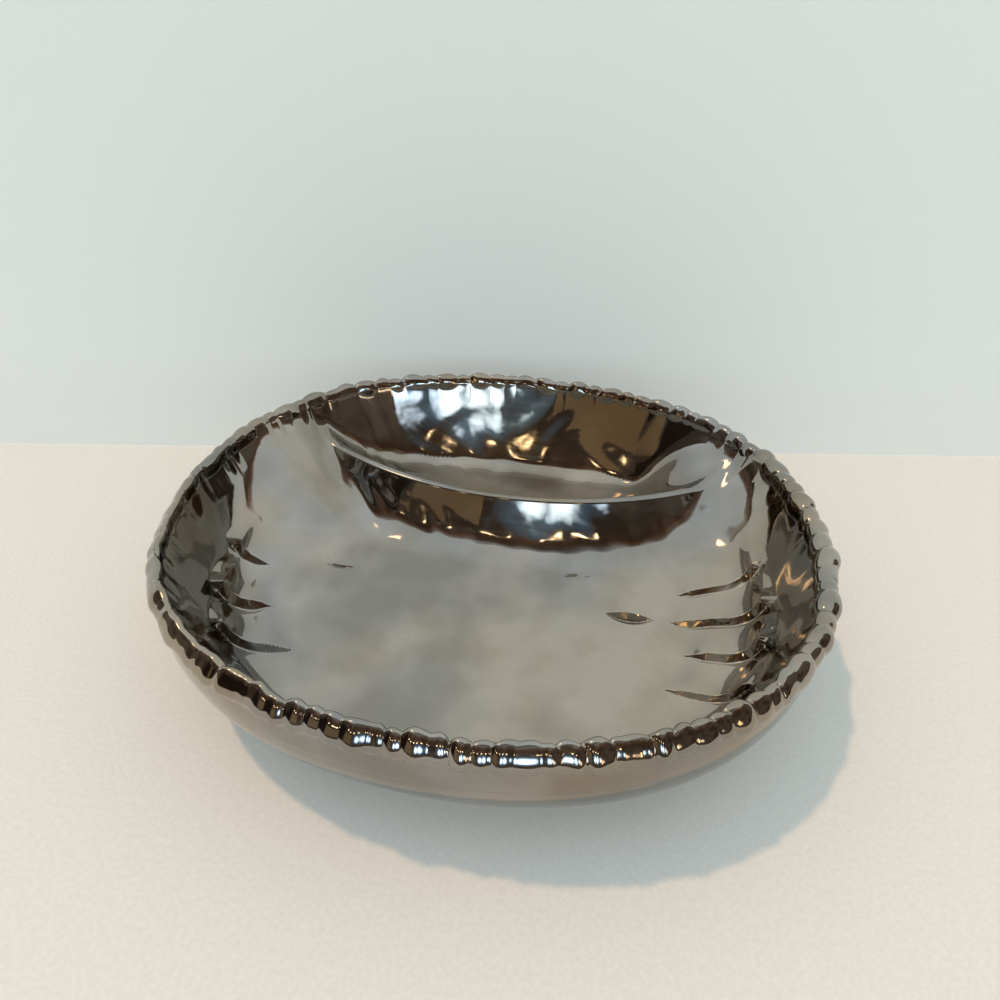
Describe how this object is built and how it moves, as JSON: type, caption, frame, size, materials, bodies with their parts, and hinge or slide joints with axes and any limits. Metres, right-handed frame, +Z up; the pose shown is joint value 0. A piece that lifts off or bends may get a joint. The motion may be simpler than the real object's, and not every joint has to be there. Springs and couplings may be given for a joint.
{
  "type": "chip and dip tray",
  "caption": "Oval porcelain serving tray with a mirror-bright lustre glaze, a curved divider making a dip well beside a chip well, a rim of irregular beads and a foot ring.",
  "frame": {"origin": "centre of the tray on the surface it stands on", "axes": "+X along the tray's long axis, +Y across it from the chip well toward the dip well, +Z up"},
  "size_m": [0.3134, 0.2724, 0.0766],
  "materials": {
    "platinum_lustre": "polished",
    "unglazed_porcelain": "matte"
  },
  "bodies": {
    "root": {"dish": "platinum_lustre", "divider": "platinum_lustre", "foot_ring": "unglazed_porcelain", "bead_strand_01": "platinum_lustre", "bead_strand_02": "platinum_lustre", "bead_strand_03": "platinum_lustre", "bead_strand_04": "platinum_lustre", "bead_strand_05": "platinum_lustre", "bead_strand_06": "platinum_lustre", "bead_strand_07": "platinum_lustre", "bead_strand_08": "platinum_lustre", "bead_strand_09": "platinum_lustre", "bead_strand_10": "platinum_lustre", "bead_strand_11": "platinum_lustre", "bead_strand_12": "platinum_lustre"}
  },
  "joints": []
}
